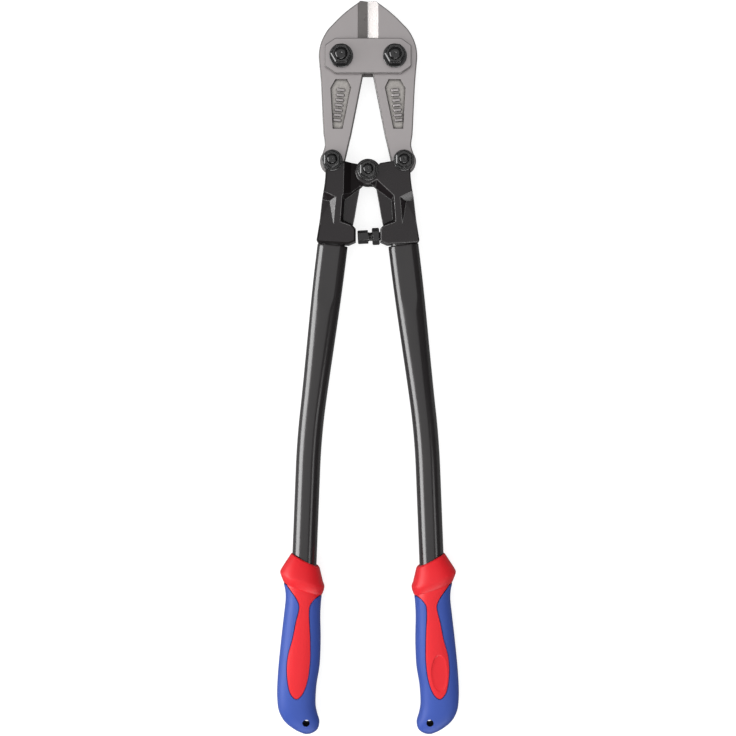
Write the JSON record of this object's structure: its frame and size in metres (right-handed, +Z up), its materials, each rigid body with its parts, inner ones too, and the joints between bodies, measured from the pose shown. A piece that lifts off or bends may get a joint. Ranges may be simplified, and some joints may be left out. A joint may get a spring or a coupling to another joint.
{
  "type": "bolt cutters",
  "caption": "Long-handled bolt cutters with compound levers: forged jaws between link plates, bolted toggle joints, oval steel tube arms and two-colour grips.",
  "frame": {"origin": "middle of the footprint, on the surface that the closed cutters lie on", "axes": "+Y along the tool towards the jaws, +X to the right with the jaws away from the user, +Z up off the surface"},
  "size_m": [0.1512, 0.6096, 0.0401],
  "materials": {
    "forged_steel": "satin forged steel, ground cutting facets",
    "plate_steel": "satin grey plate",
    "black_oxide": "black oxide steel fasteners",
    "black_casting": "satin black coated forging",
    "black_enamel": "gloss black enamel",
    "blue_rubber": "matte blue moulded grip",
    "red_rubber": "soft red moulded grip"
  },
  "bodies": {
    "links": {"front_link_plate": "plate_steel", "rear_link_plate": "plate_steel", "left_jaw_bolt": "black_oxide", "left_jaw_washer": "black_oxide", "left_jaw_nut": "black_oxide", "right_jaw_bolt": "black_oxide", "right_jaw_washer": "black_oxide", "right_jaw_nut": "black_oxide"},
    "left_jaw": {"left_jaw": "forged_steel"},
    "right_jaw": {"right_jaw": "forged_steel"},
    "left_handle": {"left_bracket": "black_casting", "left_tube": "black_enamel", "left_collar": "red_rubber", "left_grip": "blue_rubber", "left_toggle_bolt": "black_oxide", "left_toggle_washer": "black_oxide", "left_toggle_nut": "black_oxide"},
    "right_handle": {"right_bracket": "black_casting", "right_tube": "black_enamel", "right_collar": "red_rubber", "right_grip": "blue_rubber", "right_toggle_bolt": "black_oxide", "right_toggle_washer": "black_oxide", "right_toggle_nut": "black_oxide", "centre_bolt": "black_oxide", "centre_washer": "black_oxide", "centre_nut": "black_oxide", "lock_nut": "black_oxide"},
    "stop_screw": {"stop_screw": "black_oxide"}
  },
  "joints": [
    {"name": "left_jaw_hinge", "type": "hinge", "parent": "links", "child": "left_jaw", "pos_m": [-0.0222, 0.2578, 0.018], "axis": [0, 0, 1], "range_deg": [0, 7.1]},
    {"name": "right_jaw_hinge", "type": "hinge", "parent": "links", "child": "right_jaw", "pos_m": [0.0222, 0.2578, 0.018], "axis": [0, 0, 1], "range_deg": [-7.1, 0]},
    {"name": "left_handle_hinge", "type": "hinge", "parent": "left_jaw", "child": "left_handle", "pos_m": [-0.0296, 0.1713, 0.018], "axis": [0, 0, 1], "range_deg": [-46, 0]},
    {"name": "right_handle_hinge", "type": "hinge", "parent": "right_jaw", "child": "right_handle", "pos_m": [0.0296, 0.1713, 0.018], "axis": [0, 0, 1], "range_deg": [0, 46]},
    {"name": "stop_screw_slide", "type": "slide", "parent": "right_handle", "child": "stop_screw", "axis": [0.9986, 0.0523, 0], "range_m": [-0.0012, 0.0023]}
  ],
  "couplings": [
    {"joint": "left_jaw_hinge", "follows": "left_handle_hinge", "ratio": -0.1525},
    {"joint": "right_jaw_hinge", "follows": "left_handle_hinge", "ratio": 0.1525},
    {"joint": "right_handle_hinge", "follows": "left_handle_hinge", "ratio": -1}
  ]
}
